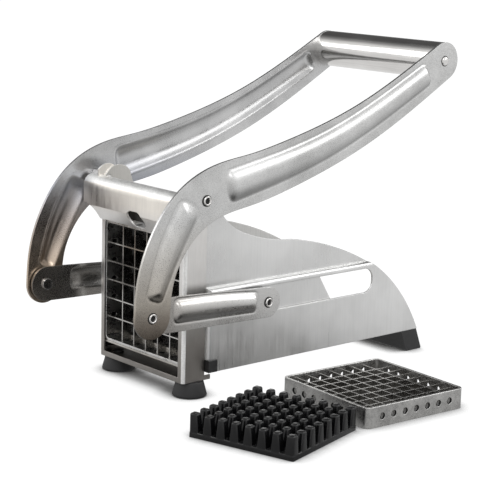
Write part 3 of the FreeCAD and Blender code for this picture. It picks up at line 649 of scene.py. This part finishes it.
def rim_piece(name, node, body, cells, place):
    """Band-shaped rim with round holes; place takes its own coordinates to the shared frame."""
    pitch = GRID_SPAN / cells
    flat = RIM_HALF - RIM_CORNER
    mid = RIM_DEPTH / 2
    ends = pitch * (cells - 1) / 2
    centres = [pitch * (k + 1) - GRID_SPAN / 2 for k in range(cells - 1)]
    turns = rays_about_hole(pitch / 2, mid)
    outer = [to_square(t, pitch / 2, mid) for t in turns]
    inner = [(RIM_HOLE * math.cos(t), RIM_HOLE * math.sin(t)) for t in turns]
    # levels where a border between cells has points, and places where a long edge has them
    side_levels = sorted(mid + v for u, v in outer if u > pitch / 2 - TINY and abs(v) < mid - TINY)
    steps = [-flat, -ends, ends, flat]
    steps += [centre + u for centre in centres for u, v in outer if v <= -mid + TINY]
    steps = sorted(set(round(s, 7) for s in steps))
    bm = bmesh.new()

    def wall(side, along, level, depth_in):
        """Point on one of the four sides: along it, through the rim's depth, into its gauge."""
        point = Vector((along, -(RIM_HALF - depth_in), level))
        return Matrix.Rotation(side * math.pi / 2, 3, "Z") @ point

    def bend(side, turn, radius, level):
        """Point on the corner that follows one of the four sides."""
        point = Vector((flat + radius * math.cos(turn), -flat + radius * math.sin(turn), level))
        return Matrix.Rotation(side * math.pi / 2, 3, "Z") @ point

    def skin(points, reverse, slot=0):
        """One face through points of the rim's own coordinates."""
        verts = [bm.verts.new(place(p)) for p in points]
        bm.faces.new(verts[::-1] if reverse else verts).material_index = slot

    def holed_cell(side, centre):
        """Both faces of one cell about its hole, and the hole's bore, painted dark as shadow."""
        for i in range(len(turns)):
            j = (i + 1) % len(turns)
            for depth_in, flip in ((0, False), (RIM_GAUGE, True)):
                skin([wall(side, centre + u, mid + v, depth_in)
                      for u, v in (outer[i], outer[j], inner[j], inner[i])], flip)
            skin([wall(side, centre + inner[a][0], mid + inner[a][1], d)
                  for a, d in ((i, 0), (j, 0), (j, RIM_GAUGE), (i, RIM_GAUGE))], False, 1)

    def end_panel(side, hand):
        """Both faces of the plain stretch between the last cell and the corner."""
        outline = [(hand * flat, 0), (hand * ends, 0)]
        outline += [(hand * ends, level) for level in side_levels]
        outline += [(hand * ends, RIM_DEPTH), (hand * flat, RIM_DEPTH)]
        for depth_in, flip in ((0, hand > 0), (RIM_GAUGE, hand < 0)):
            skin([wall(side, along, level, depth_in) for along, level in outline], flip)

    def corner(side):
        """Faces and edges of one rounded corner."""
        arc = [math.radians(-90 + 9 * i) for i in range(11)]
        for a, b in zip(arc, arc[1:]):
            for radius in (RIM_CORNER, RIM_CORNER - RIM_GAUGE):
                skin([bend(side, a, radius, 0), bend(side, b, radius, 0),
                      bend(side, b, radius, RIM_DEPTH), bend(side, a, radius, RIM_DEPTH)],
                     radius < RIM_CORNER)
            for level in (0, RIM_DEPTH):
                skin([bend(side, a, RIM_CORNER, level), bend(side, b, RIM_CORNER, level),
                      bend(side, b, RIM_CORNER - RIM_GAUGE, level),
                      bend(side, a, RIM_CORNER - RIM_GAUGE, level)], level > 0)

    for side in range(4):
        for centre in centres:
            holed_cell(side, centre)
        for hand in (-1, 1):
            end_panel(side, hand)
        for low, high in zip(steps, steps[1:]):
            for level in (0, RIM_DEPTH):
                skin([wall(side, low, level, 0), wall(side, high, level, 0),
                      wall(side, high, level, RIM_GAUGE), wall(side, low, level, RIM_GAUGE)],
                     level > 0)
        corner(side)
    ob = make(name, bm, rim_steel, body, node, sharp=35.0)
    # the second slot paints the holes' bores in shadow
    ob.data.materials.append(painted_shadow_black)
    soften(ob, width=0.22 * MM, angle=60.0)


fit_low, fit_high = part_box("cartridge_frame_36")
fit_mid = (fit_low + fit_high) / 2
rim_piece("rim_fitted", "cartridge_frame_36", "cartridge", 6,
          lambda p: Vector((p.x, fit_high.y - p.z, fit_mid.z + p.y)))
spare_low, spare_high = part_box("spare_cartridge_frame_64")
spare_mid = (spare_low + spare_high) / 2
spare_turn = Matrix.Rotation(math.radians(86.3), 3, "Z")
rim_piece("rim_spare", "spare_cartridge_frame_64", "spare cartridge", 8,
          lambda p: Vector((spare_mid.x, spare_mid.y, spare_low.z)) + spare_turn @ p)

# ---------------------------------------------------------------- spare peg block
BLOCK_HALF = 31.5 * MM               # half its width
BLOCK_BASE, PEG_TALL = 3.0 * MM, 10.0 * MM                             # heights
PEG_FOOT, PEG_TOP = 0.71, 0.45       # shares of the pitch
PEG_SUNK = 0.3 * MM                  # how deep a peg's foot sits in the base


def rectangle(left, right, near, far):
    """Corners of a rectangle, in order."""
    return (left, near), (right, near), (right, far), (left, far)


def frustum(bm, foot, top, low, high, wide, segments):
    """Adds a flat-sided solid between two outlines, with its top and upright edges rounded."""
    rings = [[bm.verts.new((x, y, z)) for x, y in ring] for ring, z in ((foot, low), (top, high))]
    bm.faces.new(rings[0][::-1])
    bm.faces.new(rings[1])
    for i in range(4):
        bm.faces.new((rings[0][i - 1], rings[0][i], rings[1][i], rings[1][i - 1]))
    edges = list({edge for vert in rings[1] for edge in vert.link_edges})
    bmesh.ops.bevel(bm, geom=edges, offset=wide, segments=segments, affect="EDGES", profile=0.5)


def peg_block(name, node, body, cells, place):
    """Base with one tapered, round-edged peg to each cell, placed as the rims are."""
    pitch = GRID_SPAN / cells
    foot, top = pitch * PEG_FOOT / 2, pitch * PEG_TOP / 2
    bm = bmesh.new()

    def sides(at, wide):
        """Both sides of a peg along one axis; on the block's border they stay upright."""
        low = -BLOCK_HALF if at - foot < foot - BLOCK_HALF else at - wide
        high = BLOCK_HALF if at + foot > BLOCK_HALF - foot else at + wide
        return low, high

    base = rectangle(-BLOCK_HALF, BLOCK_HALF, -BLOCK_HALF, BLOCK_HALF)
    frustum(bm, base, base, 0, BLOCK_BASE, wide=0.5 * MM, segments=2)
    places = [(i + 0.5) * pitch - GRID_SPAN / 2 for i in range(cells)]
    for x in places:
        for y in places:
            low, high = (rectangle(*sides(x, wide), *sides(y, wide)) for wide in (foot, top))
            frustum(bm, low, high, BLOCK_BASE - PEG_SUNK, BLOCK_BASE + PEG_TALL,
                    wide=1.05 * MM, segments=4)
    for vert in bm.verts:
        vert.co = place(vert.co.copy())
    make(name, bm, gloss_black, body, node, sharp=50.0)


block_low, block_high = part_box("spare_peg_block_64")
block_mid = (block_low + block_high) / 2
block_turn = Matrix.Rotation(math.radians(15.5), 3, "Z")
peg_block("pegs_spare", "spare_peg_block_64", "spare peg block", 8,
          lambda p: Vector((block_mid.x, block_mid.y, block_low.z)) + block_turn @ p)


# ---------------------------------------------------------------- floor, world, lamps, camera
def bench_material():
    """White to the camera, pale in reflections away from the object, and keeps its shadow."""
    n = Nodes(bpy.data.materials.new("bench_white"))
    n.tree.nodes.remove(n.tree.nodes["Principled BSDF"])
    matt = n.add("ShaderNodeBsdfDiffuse", Color=(0.42, 0.42, 0.42, 1))
    glow = n.add("ShaderNodeEmission", Strength=1.2)
    rays = n.add("ShaderNodeLightPath").outputs
    mapping = n.add("ShaderNodeMapping", Location=(-0.12, 0.16, 0))
    n.join(n.place.outputs["Object"], mapping.inputs["Vector"])
    away = n.add("ShaderNodeVectorMath", operation="LENGTH")
    n.join(mapping.outputs["Vector"], away.inputs[0])
    far_off = n.remap(away.outputs["Value"], start=0.06, stop=0.30, low=0.10, high=0.66,
                      interpolation_type="SMOOTHSTEP")
    mirrored = n.combine("MULTIPLY", rays["Is Glossy Ray"], far_off)
    # painted shade: the white glow fades where ambient occlusion finds the floor closed in, under
    # and between parts
    open_sky = n.add("ShaderNodeAmbientOcclusion", samples=8, Distance=0.014)
    clear = n.remap(open_sky.outputs["AO"], start=0.45, stop=0.90, low=0.0, high=0.84)
    direct = n.combine("MAXIMUM", rays["Is Camera Ray"], rays["Is Transmission Ray"])
    seen = n.combine("MULTIPLY", direct, clear)
    shown = n.mix_shaders(n.combine("MAXIMUM", seen, mirrored), matt, glow)
    n.join(shown, n.tree.nodes["Material Output"].inputs["Surface"])
    return n.owner


def bench(half, gap):
    """Floor that the object stands on, a hair below its feet."""
    bm = bmesh.new()
    bmesh.ops.create_grid(bm, x_segments=8, y_segments=8, size=half)
    for vert in bm.verts:
        vert.co.z = cad_low.z - gap
    mesh = bpy.data.meshes.new("bench_top")
    bm.to_mesh(mesh)
    bm.free()
    mesh.materials.append(bench_material())
    floor = bpy.data.objects.new("bench_top", mesh)
    bpy.context.scene.collection.objects.link(floor)


def studio():
    """Pale world, darker toward one side, and white to the camera."""
    world = bpy.data.worlds.new("studio")
    bpy.context.scene.world = world
    n = Nodes(world)
    shade = n.tree.nodes["Background"]
    shade.inputs["Strength"].default_value = 0.80
    white = n.add("ShaderNodeBackground", Color=(1, 1, 1, 1))
    toward = n.add("ShaderNodeVectorMath", operation="DOT_PRODUCT")
    toward.inputs[1].default_value = Vector((-0.60, 0.45, 0.66)).normalized()
    n.join(n.place.outputs["Generated"], toward.inputs[0])
    levels = ((0.0, 0.90), (0.30, 1.0), (0.70, 1.0), (0.81, 0.95), (0.90, 0.35), (0.97, 0.12))
    tone = n.ramp(n.remap(toward.outputs["Value"], start=-1, stop=1),
                  [(at, (level,) * 3) for at, level in levels])
    n.join(tone, shade.inputs["Color"])
    # the camera and clear pieces see white, and metal does wherever the studio is pale
    rays = n.add("ShaderNodeLightPath").outputs
    share = n.combine("MULTIPLY", rays["Is Glossy Ray"], n.combine("POWER", tone, 3.0))
    for kind in ("Is Camera Ray", "Is Transmission Ray"):
        share = n.combine("MAXIMUM", rays[kind], share)
    n.join(n.mix_shaders(share, shade, white), n.tree.nodes["World Output"].inputs["Surface"])


def lamp(name, at, aim, size, power):
    """Soft rectangular lamp."""
    data = bpy.data.lights.new(name, "AREA")
    data.shape = "RECTANGLE"
    data.size, data.size_y = size
    data.energy = power
    ob = bpy.data.objects.new(name, data)
    ob.location = at
    ob.rotation_mode = "QUATERNION"
    ob.rotation_quaternion = (Vector(aim) - Vector(at)).to_track_quat("-Z", "Y")
    bpy.context.scene.collection.objects.link(ob)


def view(at, azimuth, elevation, roll, lens):
    """Camera at a place; azimuth and elevation lead from what it sees back to it, in degrees."""
    data = bpy.data.cameras.new("view")
    data.sensor_fit = "HORIZONTAL"
    data.sensor_width = 36.0
    data.lens = lens
    data.clip_start, data.clip_end = 0.05, 20.0
    camera = bpy.data.objects.new("view", data)
    turned = Matrix.Identity(4)
    for degrees, axis in ((90 + azimuth, "Z"), (90 - elevation, "X"), (roll, "Z")):
        turned = turned @ Matrix.Rotation(math.radians(degrees), 4, axis)
    camera.matrix_world = Matrix.Translation(at) @ turned
    bpy.context.scene.collection.objects.link(camera)
    bpy.context.scene.camera = camera


bench(half=12.0, gap=0.05 * MM)
studio()
middle = (cad_low + cad_high) / 2
lamp("key", (0.9, -0.5, 0.9), middle, size=(0.5, 0.5), power=3.0)
lamp("rim", (0.55, 0.48, 0.58), middle, size=(0.5, 0.35), power=1.5)
lamp("fill", (-0.7, -1.0, 0.7), middle, size=(0.7, 0.5), power=3.0)
view((0.68725, -0.71305, 0.26135), azimuth=-41.622138, elevation=11.774472, roll=1.594823,
     lens=113.499792)
scene = bpy.context.scene
scene.render.resolution_x, scene.render.resolution_y = 500, 496
scene.view_settings.view_transform = "Standard"
